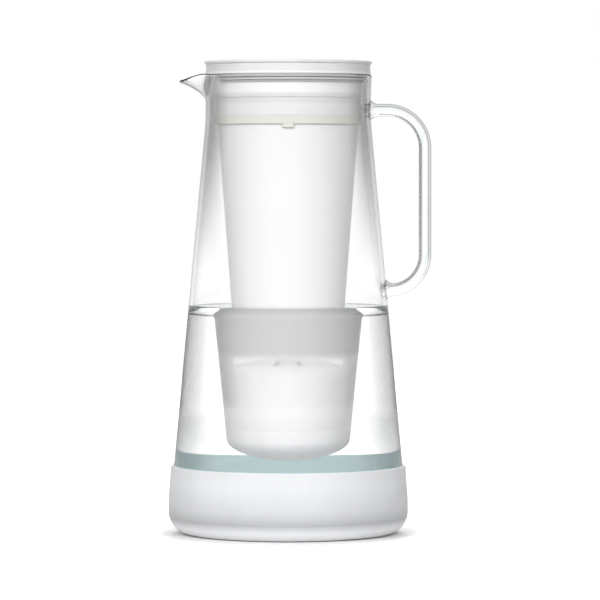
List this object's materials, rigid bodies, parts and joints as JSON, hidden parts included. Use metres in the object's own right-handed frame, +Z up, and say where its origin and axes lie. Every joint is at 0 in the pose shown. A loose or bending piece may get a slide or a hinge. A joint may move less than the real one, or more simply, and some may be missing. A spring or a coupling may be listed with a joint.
{
  "type": "water filter pitcher with flip lid",
  "caption": "Tall conical glass water filter jug with rod handle and small spout, silicone boot, hanging frosted filter reservoir and round flip lid.",
  "frame": {"origin": "centre of the boot's flat underside, on the jug's axis", "axes": "+Z up along the jug's axis, -X towards the spout, +X towards the handle"},
  "size_m": [0.1498, 0.1366, 0.2688],
  "materials": {
    "clear_glass": "clear polished",
    "white_silicone": "soft matte",
    "white_plastic": "satin",
    "grey_silicone": "matte",
    "clear_silicone": "translucent",
    "frosted_plastic": "frosted translucent",
    "black_rubber": "matte",
    "strainer_mesh": "matte",
    "cartridge_plastic": "satin",
    "carbon": "granular",
    "resin": "granular beads",
    "felt": "fibrous",
    "potting_resin": "cast",
    "membrane": "matte",
    "blue_plastic": "satin",
    "steel": "ground"
  },
  "bodies": {
    "jug": {"glass_jug": "clear_glass", "glass_handle": "clear_glass", "base_boot": "white_silicone"},
    "insert": {"collar": "white_plastic", "rim_gasket": "grey_silicone", "collar_seal": "clear_silicone", "reservoir": "frosted_plastic", "carbon_canister": "cartridge_plastic", "carbon_cover": "cartridge_plastic", "carbon_media": "carbon", "ion_resin": "resin", "upper_felt": "felt", "lower_felt": "felt", "divider_plate": "cartridge_plastic", "divider_seal": "grey_silicone"},
    "membrane": {"membrane_housing": "cartridge_plastic", "nozzle_o_ring": "black_rubber", "fibre_potting": "potting_resin", "membrane_fibres": "membrane", "membrane_cap": "blue_plastic"},
    "bottom_cap": {"bottom_cap": "white_plastic", "cap_o_ring": "black_rubber", "outlet_mesh": "strainer_mesh"},
    "lid": {"lid_ring": "white_plastic", "lid_plug": "white_plastic", "lid_seal": "grey_silicone", "hinge_pin": "steel"},
    "flip_cover": {"flip_cover": "white_plastic", "cover_gasket": "grey_silicone"}
  },
  "joints": [
    {"name": "insert_lift", "type": "slide", "parent": "jug", "child": "insert", "axis": [0, 0, 1], "range_m": [0, 0.23]},
    {"name": "membrane_pull", "type": "slide", "parent": "insert", "child": "membrane", "axis": [0, 0, 1], "range_m": [0, 0.045]},
    {"name": "cap_twist", "type": "hinge", "parent": "insert", "child": "bottom_cap", "pos_m": [0, 0, 0.0598], "axis": [0, 0, 1], "range_deg": [0, 45]},
    {"name": "lid_lift", "type": "slide", "parent": "insert", "child": "lid", "axis": [0, 0, 1], "range_m": [0, 0.05]},
    {"name": "cover_flip", "type": "hinge", "parent": "lid", "child": "flip_cover", "pos_m": [0.0266, 0, 0.2665], "axis": [0, 1, 0], "range_deg": [0, 95]}
  ]
}
